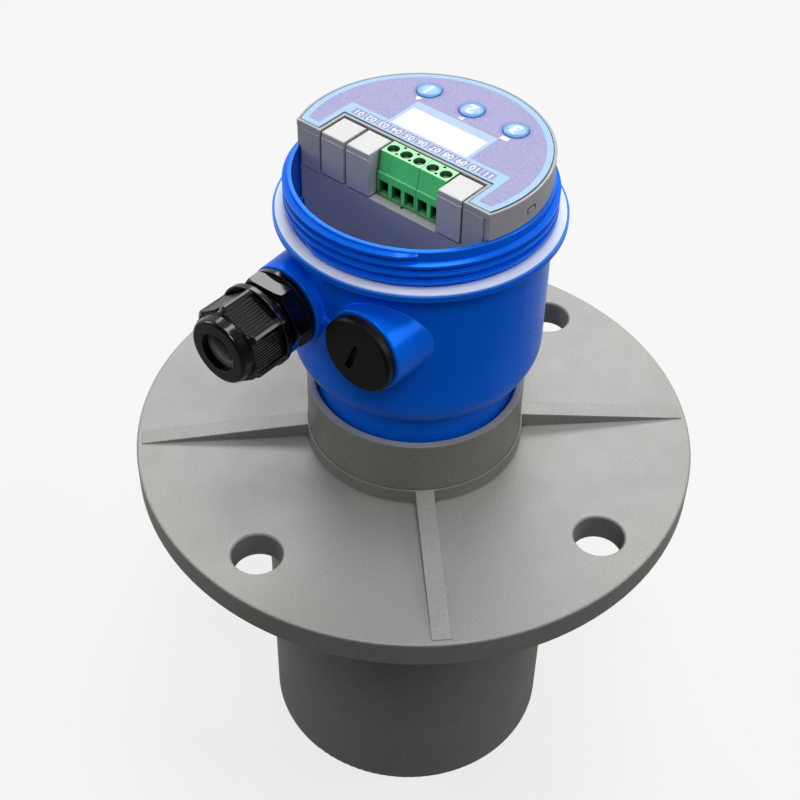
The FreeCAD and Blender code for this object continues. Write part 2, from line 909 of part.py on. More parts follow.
def key_cap(x):
    """A domed key with the flange that keeps it in and the stem that works the switch."""
    flange_top_level = module_roof_under - key_fit
    flange_under = flange_top_level - key_flange_thickness
    stem_end = display_board_top + switch_height + plunger_stand
    edge = key_top - key_dome
    cap = dome(key_radius, key_radius * 0.45, edge - 0.01, key_top)
    body = fused(
        cap,
        rod(key_radius, flange_under, edge),
        rod(key_radius + key_flange, flange_under, flange_top_level),
        rod(key_stem_radius, stem_end, flange_under + 0.1))
    body.translate(V(x, key_row, 0))
    return body


def switch_plunger(x):
    top = display_board_top + switch_height + plunger_stand
    return rod(plunger_radius, top - plunger_stand - plunger_depth + key_travel + 0.1, top, x, key_row)


def switch_bodies():
    """The three small square push switches on the display board."""
    half = switch_size / 2.0
    top = display_board_top + switch_height
    bodies = []
    for x in key_places():
        body = block(x - half, x + half, key_row - half, key_row + half, display_board_top, top)
        hole = rod(plunger_radius + plunger_fit, top - plunger_depth, top + 1.0, x, key_row)
        bodies.append(body.cut(hole))
    return Part.makeCompound(bodies)


def display_board():
    """The upper board, threaded over the posts, behind the terminal notch."""
    radius = module_lower_radius - module_wall - board_clearance
    back = notch_back - module_wall - board_clearance
    board = half_disc(radius, back, display_board_under, display_board_top)
    cuts = [rod(spigot_radius + 0.1, display_board_under - 1.0, display_board_top + 1.0, x, y)
            for x, y in post_places()]
    return board.cut(cuts)


def main_board():
    """The lower board, which the terminals are soldered to."""
    radius = module_lower_radius - module_wall - board_clearance
    front = module_front - module_wall - board_clearance
    board = half_disc(radius, front, main_board_under, main_board_top)
    cuts = [rod(board_screw_radius + 0.15, main_board_under - 1.0, main_board_top + 1.0, x, y)
            for x, y in screw_places()]
    for number in used_positions():
        cuts.append(rod(pin_radius + 0.1, main_board_under - 1.0, main_board_top + 1.0,
                        position_x(number), -pin_line()))
    return board.cut(cuts)


def board_screws():
    """The pan head screws that hold the lower board to the posts."""
    screws = []
    for x, y in screw_places():
        head = rod(board_screw_head, main_board_under - board_screw_head_height, main_board_under, x, y)
        shank = rod(board_screw_radius, main_board_under - 0.1,
                    main_board_top + board_screw_length, x, y)
        screws.append(head.fuse(shank).removeSplitter())
    return Part.makeCompound(screws)


def board_header():
    """The pin header that joins the two boards."""
    return block(-header_length / 2.0, header_length / 2.0, header_row - header_width / 2.0,
                 header_row + header_width / 2.0, main_board_top, display_board_under)


def lead_socket():
    """The socket under the board that the transducer's lead plugs into."""
    return block(-socket_length / 2.0, socket_length / 2.0, lead_offset - socket_width / 2.0,
                 lead_offset + socket_width / 2.0, main_board_under - socket_height, main_board_under)


def drive_transformer():
    half = transformer_size / 2.0
    core = block(transformer_x - half, transformer_x + half, transformer_y - half * 0.8,
                 transformer_y + half * 0.8, main_board_under - transformer_height, main_board_under)
    return rounded_at(core, 1.0, lambda e: e.BoundBox.ZLength > transformer_height - 0.1)


def storage_capacitor():
    can = rod(capacitor_radius, main_board_under - capacitor_length, main_board_under,
              capacitor_x, capacitor_y)
    low = main_board_under - capacitor_length
    return rounded_at(can, 0.6, lambda e: abs(e.BoundBox.ZMax - low) < 0.01)


def controller_chip():
    half = chip_size / 2.0
    return block(-half, half, chip_y - half, chip_y + half, main_board_top,
                 main_board_top + chip_height)


# Terminals

def used_positions():
    """Positions 5 to 9 have screw terminals."""
    return [5, 6, 7, 8, 9]


def pin_line():
    """The distance of the solder pins in front of the axis."""
    return cell_back + contact_gap / 2.0 + contact_leg / 2.0


def terminal_block(numbers):
    """A green block for some positions: side profile, screw shafts, cells and wire entries."""
    x0 = position_x(numbers[0]) - pitch / 2.0 + terminal_joint
    x1 = position_x(numbers[-1]) + pitch / 2.0 - terminal_joint
    profile = Part.makePolygon([
        V(x0, -terminal_back, shelf_top),
        V(x0, -terminal_lower_front, shelf_top),
        V(x0, -terminal_lower_front, terminal_step - terminal_step_round),
        V(x0, -terminal_lower_front + terminal_step_round, terminal_step),
        V(x0, -terminal_slope_foot, terminal_step),
        V(x0, -terminal_top_front, terminal_top),
        V(x0, -terminal_back, terminal_top),
        V(x0, -terminal_back, shelf_top)])
    body = Part.Face(profile).extrude(V(x1 - x0, 0, 0))
    cell_low = shelf_top + terminal_floor
    cell_high = screw_seat - screw_seat_wall
    cuts = []
    for number in numbers:
        x = position_x(number)
        cuts.append(rod(screw_hole_radius, screw_seat, terminal_top + 1.0, x, -screw_line))
        cuts.append(rod(screw_radius + screw_fit, cell_high - 1.0, screw_seat + 1.0, x, -screw_line))
        cuts.append(block(x - cell_half_width, x + cell_half_width, -cell_front, -cell_back,
                          cell_low, cell_high))
        cuts.append(block(x - entry_half_width, x + entry_half_width, -terminal_lower_front - 1.0,
                          -cell_front + 1.0, entry_low, entry_high))
        cuts.append(rod(pin_radius + 0.1, shelf_top - 1.0, cell_low + 1.0, x, -pin_line()))
    for number in numbers[:-1]:
        x = position_x(number) + pitch / 2.0
        for y in (-terminal_top_front + dimple_front_inset, -terminal_back - dimple_back_inset):
            cuts.append(rod(dimple_radius, terminal_top - dimple_depth, terminal_top + 1.0, x, y))
    return body.cut(cuts)


def terminal_contacts():
    """Five bent strips, each with the tongue under its screw and the pin to the board."""
    strips = []
    half = contact_width / 2.0
    top = clamp_high - clamp_nut - contact_gap
    leg_back = cell_back + contact_gap / 2.0
    for number in used_positions():
        x = position_x(number)
        tongue = block(x - half, x + half, -contact_nose, -leg_back, top - contact_thickness, top)
        leg = block(x - half, x + half, -leg_back - contact_leg, -leg_back,
                    shelf_top + terminal_floor, top)
        pin = rod(pin_radius / math.sqrt(2.0), main_board_under - pin_reach,
                  shelf_top + terminal_floor + 0.5, x, -pin_line())
        strips.append(tongue.fuse([leg, pin]).removeSplitter())
    return Part.makeCompound(strips)


def terminal_screw(number):
    """A slotted clamping screw that turns in place in the block."""
    x = position_x(number)
    seat = screw_seat + contact_gap / 2.0
    tip = clamp_high - clamp_nut - contact_gap / 2.0
    top = seat + screw_head_height
    bevel = screw_head_bevel
    body = turned([
        (0, tip),
        (screw_radius, tip),
        (screw_radius, seat),
        (screw_head_radius, seat),
        (screw_head_radius, top - bevel),
        (screw_head_radius - bevel, top),
        (0, top)])
    body.translate(V(x, -screw_line, 0))
    slot = block(x - screw_head_radius - 1.0, x + screw_head_radius + 1.0,
                 -screw_line - screw_slot_width / 2.0, -screw_line + screw_slot_width / 2.0,
                 top - screw_slot_depth, top + 1.0)
    return body.cut(slot)


def wire_clamp(number):
    """The square cage that the screw draws up to trap the wire under the contact."""
    x = position_x(number)
    half = clamp_size / 2.0
    cage = block(x - half, x + half, -screw_line - half, -screw_line + half, clamp_low, clamp_high)
    window = block(x - half + clamp_side, x + half - clamp_side, -screw_line - half - 1.0,
                   -screw_line + half + 1.0, clamp_low + clamp_floor, clamp_high - clamp_nut)
    hole = rod(screw_radius + thread_clearance, clamp_low + clamp_floor + 0.5, clamp_high + 1.0,
               x, -screw_line)
    return cage.cut([window, hole])


def blank_peg_line():
    return (module_front + notch_back) / 2.0


def blank_cover(centre):
    """A grey cap over two unused positions, hollow below, with a peg into the shelf."""
    half = blank_width / 2.0
    low = shelf_top + blank_lift
    top = module_top - blank_top_gap
    y0 = -module_front
    y1 = -notch_back - blank_rear_gap
    cap = block(centre - half, centre + half, y0, y1, low, top)
    cap = rounded_at(cap, blank_edge_round, lambda e: edge_is_front_or_top(e, y0, top))
    hollow = block(centre - half + blank_wall, centre + half - blank_wall, y0 + blank_wall + panel_depth,
                   y1 - blank_wall, low - 1.0, top - blank_wall)
    recess = block(centre - half - 1.0, centre + half + 1.0, y0 - 1.0,
                   y0 + panel_depth, low - 1.0, top - panel_border)
    peg = rod(blank_peg_radius, shelf_under - 0.5, top - blank_wall + 0.1, centre, -blank_peg_line())
    foot = rod(blank_peg_radius + 1.0, shelf_top, top - blank_wall + 0.1, centre, -blank_peg_line())
    return cap.cut([hollow, recess]).fuse([peg, foot]).removeSplitter()


def edge_is_front_or_top(edge, front, top):
    """True for the edges round the top face and the two upright edges of the front face."""
    box = edge.BoundBox
    on_top = abs(box.ZMin - top) < 0.001
    upright = box.ZLength > 1.0 and abs(box.YMax - front) < 0.001
    return on_top or upright


def build():
    """Every sub-part with the name of its node."""
    pieces = {
        "mounting_flange": mounting_flange(),
        "sensor_body": sensor_body(),
        "radiating_face": radiating_face(),
        "piezo_disc": piezo_disc(),
        "backing_block": backing_block(),
        "decoupling_sleeve": decoupling_sleeve(),
        "potting": potting(),
        "temperature_probe": temperature_probe(),
        "transducer_lead": transducer_lead(),
        "neck_ring": neck_ring(),
        "housing": housing(),
        "cover_gasket": cover_gasket(),
        "gland_gasket": entry_gasket(gland_x),
        "gland_body": gland_body(),
        "gland_seal": gland_seal(),
        "gland_nut": gland_nut(),
        "plug_gasket": entry_gasket(plug_x),
        "blanking_plug": blanking_plug(),
        "module_case": module_case(),
        "module_base": module_base(),
        "label_film": label_film(),
        "display_window": display_window(),
        "lcd_glass": lcd_glass(),
        "lcd_backlight": lcd_backlight(),
        "display_board": display_board(),
        "switch_bodies": switch_bodies(),
        "board_header": board_header(),
        "main_board": main_board(),
        "board_screws": board_screws(),
        "controller_chip": controller_chip(),
        "drive_transformer": drive_transformer(),
        "storage_capacitor": storage_capacitor(),
        "lead_socket": lead_socket(),
        "terminal_block_3_way": terminal_block(used_positions()[:3]),
        "terminal_block_2_way": terminal_block(used_positions()[3:]),
        "terminal_contacts": terminal_contacts()}
    for i, x in enumerate(key_places()):
        pieces["key_" + str(i + 1)] = key_cap(x)
        pieces["switch_plunger_" + str(i + 1)] = switch_plunger(x)
    for i, number in enumerate(used_positions()):
        pieces["terminal_screw_" + str(i + 1)] = terminal_screw(number)
        pieces["wire_clamp_" + str(i + 1)] = wire_clamp(number)
    for i, centre in enumerate(blank_centres()):
        pieces["blank_cover_" + str(i + 1)] = blank_cover(centre)
    return pieces


os.makedirs("parts", exist_ok=True)
for name, shape in build().items():
    save(name, shape)
    print(name, shape.ShapeType, len(shape.Solids), shape.isValid(), round(shape.Volume, 1))
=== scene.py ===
import bpy
import bmesh
import json
import math
from mathutils import Euler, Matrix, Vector
from mathutils.bvhtree import BVHTree

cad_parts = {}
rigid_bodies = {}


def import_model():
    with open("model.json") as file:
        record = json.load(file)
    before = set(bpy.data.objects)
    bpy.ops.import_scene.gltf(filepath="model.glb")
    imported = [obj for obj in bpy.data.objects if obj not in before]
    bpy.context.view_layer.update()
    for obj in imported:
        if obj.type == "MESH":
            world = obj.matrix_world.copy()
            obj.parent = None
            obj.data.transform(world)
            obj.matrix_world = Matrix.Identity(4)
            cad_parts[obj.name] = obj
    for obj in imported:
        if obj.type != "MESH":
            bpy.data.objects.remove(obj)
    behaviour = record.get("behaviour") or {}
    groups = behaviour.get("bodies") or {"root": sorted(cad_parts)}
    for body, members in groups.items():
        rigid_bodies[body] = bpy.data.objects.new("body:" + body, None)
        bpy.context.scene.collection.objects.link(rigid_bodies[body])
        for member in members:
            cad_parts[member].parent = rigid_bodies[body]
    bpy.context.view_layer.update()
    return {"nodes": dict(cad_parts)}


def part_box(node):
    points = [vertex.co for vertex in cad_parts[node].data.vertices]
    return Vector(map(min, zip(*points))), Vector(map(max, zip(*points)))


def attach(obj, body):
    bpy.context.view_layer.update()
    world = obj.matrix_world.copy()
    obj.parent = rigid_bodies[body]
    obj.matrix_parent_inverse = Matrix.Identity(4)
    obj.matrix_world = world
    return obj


# The bench: everything that Blender opens with is cleared away, then the imported model is loaded.
for left_over in list(bpy.data.objects):
    bpy.data.objects.remove(left_over)
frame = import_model()

# Sensor body: the grey cup with its neck, one moulding in dark grey polypropylene.
# The mould leaves a fine even grain, and handling has left it cloudy with pale specks.
MM = 0.001
NOISE_SPAN = (0.3, 0.7)             # where most of a noise's values lie
EDGE_HIGHLIGHT_SPAN = (0.97, 0.86)          # the lean, as a cosine, where the painted edge highlight starts and is full
JOINT_SHADE_SPAN = 0.4                     # from a joint open enough to stay unshaded to one painted fully dark


def rgb(red, green, blue):
    """A colour from its 0 to 255 values, as the shader wants it."""
    linear = [(v / 255 / 12.92) if v <= 10 else ((v / 255 + 0.055) / 1.055) ** 2.4
              for v in (red, green, blue)]
    return (*linear, 1.0)


def toned(colour, factor, lift=0.0):
    """The same colour made darker or paler."""
    return tuple(min(1.0, v * factor + lift) for v in colour[:3]) + (1.0,)


def add(tree, kind, **settings):
    """A new shader node with its plain settings."""
    made = tree.nodes.new(kind)
    for name, value in settings.items():
        setattr(made, name, value)
    return made


def feed(tree, sockets, terms):
    """Fills sockets in turn, each with a number, a colour, a place or another node's socket."""
    for socket, term in zip(sockets, terms):
        if isinstance(term, (int, float, tuple)):
            socket.default_value = term
        elif term is not None:
            tree.links.new(term, socket)


def sums(tree, operation, first, second=None):
    """One Math node."""
    made = add(tree, "ShaderNodeMath", operation=operation)
    feed(tree, made.inputs, (first, second))
    return made.outputs[0]


def times(tree, first, second):
    """The product of two terms."""
    return sums(tree, "MULTIPLY", first, second)


def blend(tree, share, first, second, mode="MIX"):
    """One colour laid over another."""
    made = add(tree, "ShaderNodeMix", data_type="RGBA", blend_type=mode)
    feed(tree, (made.inputs[0], made.inputs[6], made.inputs[7]), (share, first, second))
    return made.outputs[2]


def noise(tree, place, size, detail=3.0, rough=0.55, warp=0.0):
    """Cloudy values round 0.5, of a size in millimetres."""
    made = add(tree, "ShaderNodeTexNoise")
    tree.links.new(place, made.inputs["Vector"])
    made.inputs["Scale"].default_value = 1.0 / (size * MM)
    made.inputs["Detail"].default_value = detail
    made.inputs["Roughness"].default_value = rough
    made.inputs["Distortion"].default_value = warp
    return made.outputs["Fac"]


def ramp(tree, value, low, high, to_low=0.0, to_high=1.0):
    """A value spread from one span to another and held at its ends."""
    made = add(tree, "ShaderNodeMapRange", clamp=True)
    feed(tree, made.inputs, (value, low, high, to_low, to_high))
    return made.outputs[0]


def specks(tree, place, spacing, radius, share):
    """Small dots scattered over a surface: 1 inside a dot. Only a share of the cells has one."""
    cells = add(tree, "ShaderNodeTexVoronoi")
    tree.links.new(place, cells.inputs["Vector"])
    cells.inputs["Scale"].default_value = 1.0 / (spacing * MM)
    rim = radius / spacing
    core = rim * 0.6
    near = ramp(tree, cells.outputs["Distance"], rim, core)
    pick = add(tree, "ShaderNodeSeparateColor")
    tree.links.new(cells.outputs["Color"], pick.inputs[0])
    return times(tree, near, sums(tree, "LESS_THAN", pick.outputs[0], share))


def grey_of(tree, value):
    """A grey whose brightness is the value."""
    made = add(tree, "ShaderNodeCombineColor")
    feed(tree, made.inputs, (value, value, value))
    return made.outputs[0]


def facing_up(tree, low, high, share):
    """A share for what faces up: none below the first height of the normal, all above the next."""
    normal = add(tree, "ShaderNodeSeparateXYZ")
    tree.links.new(add(tree, "ShaderNodeNewGeometry").outputs["Normal"], normal.inputs[0])
    return ramp(tree, normal.outputs[2], low, high, 0.0, share)


def skin_of(finish):
    """The shader of a finish."""
    return finish.node_tree.nodes["Principled BSDF"]


def bare_finish(name):
    """A new finish, its node tree, and the place on the piece that its patterns follow."""
    made = bpy.data.materials.new(name)
    made.use_nodes = True
    tree = made.node_tree
    return made, tree, add(tree, "ShaderNodeTexCoord").outputs["Object"]


def soft_edge(tree, radius):
    """The surface's direction with its edges rounded off."""
    made = add(tree, "ShaderNodeBevel", samples=4)
    made.inputs["Radius"].default_value = radius * MM
    return made.outputs[0]


def relief(tree, finish, height, depth, strength, direction):
    """A fine unevenness over the rounded direction, given to the finish."""
    bump = add(tree, "ShaderNodeBump")
    bump.inputs["Strength"].default_value = strength
    bump.inputs["Distance"].default_value = depth * MM
    tree.links.new(height, bump.inputs["Height"])
    tree.links.new(direction, bump.inputs["Normal"])
    tree.links.new(bump.outputs[0], skin_of(finish).inputs["Normal"])


def rubbed_rims(tree, rounded, colour, shade, edge_highlight):
    """Edges painted pale as highlights, found where the rounded direction leans away from the flat
    one.
    """
    flat = add(tree, "ShaderNodeNewGeometry").outputs["Normal"]
    lean = add(tree, "ShaderNodeVectorMath", operation="DOT_PRODUCT")
    feed(tree, lean.inputs, (rounded, flat))
    rim = ramp(tree, lean.outputs["Value"], *EDGE_HIGHLIGHT_SPAN, 0.0, edge_highlight)
    pale = toned(colour, 1.6, lift=0.08)
    return blend(tree, rim, shade, pale)


def dirty_joints(tree, colour, shade, joint_shade, reach, open_at):
    """Painted shade in narrow joints, darker where little of the light round a point gets in."""
    narrow = add(tree, "ShaderNodeAmbientOcclusion", samples=6)
    narrow.inputs["Distance"].default_value = reach * MM
    shade_share = ramp(tree, narrow.outputs["AO"], open_at, open_at - JOINT_SHADE_SPAN, 0.0, joint_shade)
    dark = toned(colour, 0.06)
    return blend(tree, shade_share, shade, dark)


def moulded(name, colour, roughness, cloud=0.06, cloud_size=18.0, grain=0.012, grain_size=0.5,
            edge=0.25, shine=0.5, tint=(1, 1, 1, 1), paint=None, edge_highlight=0.0, highlight_radius=0.0, joint_shade=0.0,
            reach=1.6, open_at=0.62):
    """A moulded or pressed finish: cloudy colour, fine grain, softly broken edges, painted edge
    highlights and painted shade in joints.

    A second radius, where given and more than the edge's own, sets how wide the edges are painted
    pale as highlights."""
    made, tree, place = bare_finish(name)
    clouds = noise(tree, place, cloud_size, detail=4.0)
    shade = blend(tree, ramp(tree, clouds, *NOISE_SPAN), toned(colour, 1 - cloud),
                  toned(colour, 1 + cloud))
    if paint:
        shade = paint(tree, place, shade)
    rounded = soft_edge(tree, edge)
    if edge_highlight:
        shade = rubbed_rims(tree, soft_edge(tree, highlight_radius) if highlight_radius else rounded, colour, shade, edge_highlight)
    if joint_shade:
        shade = dirty_joints(tree, colour, shade, joint_shade, reach, open_at)
    skin = skin_of(made)
    tree.links.new(shade, skin.inputs["Base Color"])
    gloss = noise(tree, place, cloud_size * 0.35, detail=5.0)
    tree.links.new(ramp(tree, gloss, *NOISE_SPAN, roughness * 0.88, roughness * 1.12),
                   skin.inputs["Roughness"])
    skin.inputs["Specular IOR Level"].default_value = shine
    skin.inputs["Specular Tint"].default_value = tint
    relief(tree, made, noise(tree, place, grain_size, detail=2.0), depth=grain, strength=0.6,
           direction=rounded)
    return made


def dress(finish, *names):
    """Gives CAD nodes their finish."""
    for name in names:
        slots = frame["nodes"][name].data.materials
        slots.clear()
        slots.append(finish)


def handled(tree, place, shade):
    """Paler on what faces up, as painted light from above; scuffs of chalk in patches and fine
    specks, as stored parts get.
    """
    painted_top_light, chalk, speck = rgb(203, 202, 196), rgb(190, 190, 186), rgb(205, 205, 200)
    # Painted light: what faces up is made paler, as lit from above.
    shade = blend(tree, facing_up(tree, 0.55, 0.98, share=0.44), shade, painted_top_light)
    patch = ramp(tree, noise(tree, place, 34.0, detail=2.0), 0.52, 0.68)
    streak = ramp(tree, noise(tree, place, 2.6, detail=6.0, rough=0.75, warp=1.6), 0.56, 0.72)
    scuff = times(tree, times(tree, patch, streak), 0.42)
    shade = blend(tree, scuff, shade, chalk)
    grit = noise(tree, place, 0.5, detail=3.0, rough=0.7)
    uneven = grey_of(tree, ramp(tree, grit, 0.36, 0.64, to_low=0.84, to_high=1.16))
    shade = blend(tree, 1.0, shade, uneven, mode="MULTIPLY")
    dots = specks(tree, place, spacing=3.2, radius=0.16, share=0.16)
    return blend(tree, times(tree, dots, 0.5), shade, speck)


grey_plastic = moulded("grey_plastic", rgb(127, 127, 122), 0.40, cloud=0.08, cloud_size=30.0,
                       grain=0.03, grain_size=0.45, edge=0.45, paint=handled, edge_highlight=0.8,
                       highlight_radius=1.3, joint_shade=0.6, reach=2.4, open_at=0.66)
dress(grey_plastic, "sensor_body")

# Mounting flange: a separate disc of the same plastic, bonded round the neck, with its hub ring,
# ribs and bolt holes. Its top carries most of the scuffs, and like every upward face of this
# plastic it is painted paler as lit from above.
dress(grey_plastic, "mounting_flange")

# Transducer: the matching layer that closes the cup, and behind it the ceramic, its backing,
# foam sleeve, casting resin, temperature probe and screened lead. Only the face shows.
face_resin = moulded("face_resin", rgb(150, 150, 146), 0.5, cloud=0.08, cloud_size=20.0,
                     grain=0.02, grain_size=0.6, paint=handled)
dress(face_resin, "radiating_face")
dress(moulded("fired_ceramic", rgb(200, 194, 180), 0.35, cloud=0.05, cloud_size=8.0), "piezo_disc")
dress(moulded("filled_resin", rgb(64, 64, 68), 0.6, cloud=0.16, cloud_size=6.0), "backing_block")
dress(moulded("closed_cell_foam", rgb(206, 204, 196), 0.9, cloud=0.05, grain=0.12,
              grain_size=1.2), "decoupling_sleeve")
dress(moulded("casting_resin", rgb(40, 40, 43), 0.28, cloud=0.10, cloud_size=12.0), "potting")
dress(moulded("lead_sheath", rgb(120, 120, 122), 0.55, cloud=0.04, grain=0.02), "transducer_lead")
black_rubber = moulded("black_rubber", rgb(26, 26, 27), 0.62, cloud=0.15, cloud_size=7.0,
                       grain=0.02, edge=0.2, shine=0.3)
dress(black_rubber, "neck_ring", "gland_gasket", "plug_gasket")


def metal(name, colour, roughness, patch=1.4, dulled=0.72):
    """A plated metal with fine drawn lines and a few dull places."""
    made, tree, place = bare_finish(name)
    dull = ramp(tree, noise(tree, place, patch, detail=4.0), 0.35, 0.7)
    skin = skin_of(made)
    tree.links.new(blend(tree, dull, colour, toned(colour, dulled)), skin.inputs["Base Color"])
    tree.links.new(ramp(tree, dull, 0.0, 1.0, roughness * 0.7, roughness * 1.4),
                   skin.inputs["Roughness"])
    skin.inputs["Metallic"].default_value = 1.0
    drawn_lines = noise(tree, place, 0.9, detail=3.0, rough=0.6, warp=0.8)
    relief(tree, made, drawn_lines, depth=0.01, strength=0.4, direction=soft_edge(tree, 0.12))
    return made


plated_steel = metal("plated_steel", rgb(205, 206, 208), 0.24)
dress(plated_steel, "temperature_probe")

# Housing: a thick cup of glossy blue plastic with two cable bosses, a ledge for the gasket and
# the coarse thread of the cover, which is moulded with it and runs a little over three turns.
BLUE = rgb(0, 110, 252)
BLUE_SHINE = (0.3, 0.75, 1.0, 1.0)
PIGMENT_SHINE = 0.12                # the deep pigment colours what the gloss mirrors
THREAD_START = -52.0                # degrees round the collar, facing the cable entries
THREAD_TOP = 117.65                 # the middle of the first turn
CREASE = 24.0                       # degrees from which an edge of a thread is drawn sharp


def dusty(tree, place, shade):
    """A few white dusty grains on the blue."""
    grains = specks(tree, place, spacing=7.0, radius=0.17, share=0.10)
    return blend(tree, times(tree, grains, 0.75), shade, rgb(230, 236, 245))


blue_plastic = moulded("blue_plastic", BLUE, 0.26, cloud=0.05, cloud_size=26.0, grain=0.010,
                       grain_size=0.8, edge=0.4, shine=0.10, tint=BLUE_SHINE, paint=dusty,
                       edge_highlight=0.6, highlight_radius=0.9)
thread_plastic = moulded("thread_plastic", BLUE, 0.20, cloud=0.04, cloud_size=14.0, grain=0.006,
                         grain_size=0.8, edge=0.24, shine=0.25, tint=BLUE_SHINE, paint=dusty,
                         edge_highlight=1.0)
for blue in (blue_plastic, thread_plastic):
    skin_of(blue).inputs["Metallic"].default_value = PIGMENT_SHINE
dress(blue_plastic, "housing")


def shaped(name, mesh, finish):
    """The piece that a finished mesh becomes, with its finish."""
    data = bpy.data.meshes.new(name)
    mesh.to_mesh(data)
    mesh.free()
    data.materials.append(finish)
    made = bpy.data.objects.new(name, data)
    bpy.context.scene.collection.objects.link(made)
    return made


def ridge(name, finish, root, crest, half_root, half_crest, lead, turns, steps, taper, spot):
    """A helical thread ridge. spot(angle, radius, rise) gives the place of one of its points.

    Its ends start low and rise to the full height over a few steps, the taper."""
    mesh = bmesh.new()
    section = [(root, -half_root), (crest, -half_crest), (crest, half_crest), (root, half_root)]
    low_end = 0.35                      # of the full height
    rings = []
    count = int(turns * steps)
    for i in range(count + 1):
        from_end = min(i, count - i) / taper
        height = min(1.0, low_end + (1.0 - low_end) * from_end)
        rings.append([mesh.verts.new(spot(i * 2 * math.pi / steps,
                                          root + (radius - root) * height,
                                          -lead * i / steps + rise)) for radius, rise in section])
    for one, two in zip(rings, rings[1:]):
        for j in range(len(section) - 1):
            mesh.faces.new((one[j], one[j + 1], two[j + 1], two[j]))
        mesh.faces.new((one[-1], one[0], two[0], two[-1]))
    mesh.faces.new(rings[0][::-1])
    mesh.faces.new(rings[-1])
    bmesh.ops.recalc_face_normals(mesh, faces=mesh.faces)
    made = shaped(name, mesh, finish)
    for face in made.data.polygons:
        face.use_smooth = True
    made.data.set_sharp_from_angle(angle=math.radians(CREASE))
    return made


def on_collar(angle, radius, rise):
    """A point of the cover thread, which starts facing the cable entries and goes down."""
    turn = math.radians(THREAD_START) - angle
    return (radius * MM * math.cos(turn), radius * MM * math.sin(turn), (THREAD_TOP + rise) * MM)


cover_thread = ridge("cover_thread", thread_plastic, root=41.3, crest=43.0, half_root=1.05,
                     half_crest=0.40, lead=3.0, turns=3.15, steps=180, taper=4, spot=on_collar)
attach(cover_thread, "sensor")

# Cover gasket: a flat ring of milky silicone pressed into the groove of the ledge. The blue
# below it shines through a little.
gasket_silicone = moulded("gasket_silicone", rgb(232, 240, 252), 0.42, cloud=0.04,
                          cloud_size=14.0, grain=0.012, grain_size=1.4, edge=0.3, shine=0.3)
gasket_skin = skin_of(gasket_silicone)
gasket_skin.inputs["Subsurface Weight"].default_value = 0.25
gasket_skin.inputs["Subsurface Scale"].default_value = 1.2 * MM
gasket_skin.inputs["Subsurface Radius"].default_value = (0.8, 0.9, 1.0)
dress(gasket_silicone, "cover_gasket")

# Cable gland: body, ribbed nut and clamping seal in black nylon and grey rubber, screwed into
# the left boss on a thin gasket. A short stretch of its thread shows between hexagon and nut.
GLAND_X = -16.8
GLAND_Z = 84.0
STEM_END = -56.3                    # where the nut hides the thread
black_nylon = moulded("black_nylon", rgb(5, 5, 6), 0.13, cloud=0.12, cloud_size=9.0,
                      grain=0.004, grain_size=0.7, edge=0.22, edge_highlight=0.6)
dress(black_nylon, "gland_body", "gland_nut")
seal_rubber = moulded("seal_rubber", rgb(112, 114, 116), 0.55, cloud=0.08, cloud_size=4.0,
                      grain=0.015, edge=0.2, shine=0.35)
dress(seal_rubber, "gland_seal")


def on_stem(angle, radius, rise):
    """A point of the gland's thread, from the nut back to the hexagon."""
    return ((GLAND_X + radius * math.cos(angle)) * MM, (STEM_END - rise) * MM,
            (GLAND_Z + radius * math.sin(angle)) * MM)


stem_thread = ridge("stem_thread", black_nylon, root=9.85, crest=10.35, half_root=0.62,
                    half_crest=0.14, lead=1.5, turns=1.7, steps=120, taper=6, spot=on_stem)
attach(stem_thread, "sensor")

# Blanking plug: a matt black nylon plug with a coin slot. It closes the right boss, screwed in
# on a gasket of its own.
plug_nylon = moulded("plug_nylon", rgb(6, 7, 8), 0.42, cloud=0.14, cloud_size=6.0,
                     grain=0.014, edge=0.35, shine=0.2, edge_highlight=0.12)
dress(plug_nylon, "blanking_plug")

# Electronics module: a light grey moulded case that drops into the housing, closed by a base plate.
# Its terminal shelf has one small open hole, drawn as a black disc of painted shade, and two grains
# of swarf before the block.
SHELF_TOP = 113.0
SWARF = rgb(240, 240, 238)
SHELF_MARKS = ((2.66, -12.64, 0.62, rgb(8, 8, 9)), (8.2, -13.25, 0.3, SWARF),
               (16.0, -13.4, 0.24, SWARF))


def away_from(tree, place, x, y, z):
    """How far the surface is from a point in millimetres."""
    made = add(tree, "ShaderNodeVectorMath", operation="DISTANCE")
    feed(tree, made.inputs, (place, (x * MM, y * MM, z * MM)))
    return made.outputs["Value"]


def shelf_marks(tree, place, shade):
    """A black disc of painted shade where the shelf has an open hole, and bright grains beside it.
    """
    for x, y, radius, colour in SHELF_MARKS:
        apart = away_from(tree, place, x, y, SHELF_TOP)
        shade = blend(tree, ramp(tree, apart, radius * MM, radius * 0.8 * MM), shade, colour)
    return shade


module_plastic = moulded("module_plastic", rgb(176, 176, 178), 0.46, cloud=0.04, cloud_size=16.0,
                         grain=0.016, grain_size=0.4, edge=0.22, shine=0.4, paint=shelf_marks,
                         edge_highlight=0.45, joint_shade=0.9)
dress(module_plastic, "module_case", "module_base")

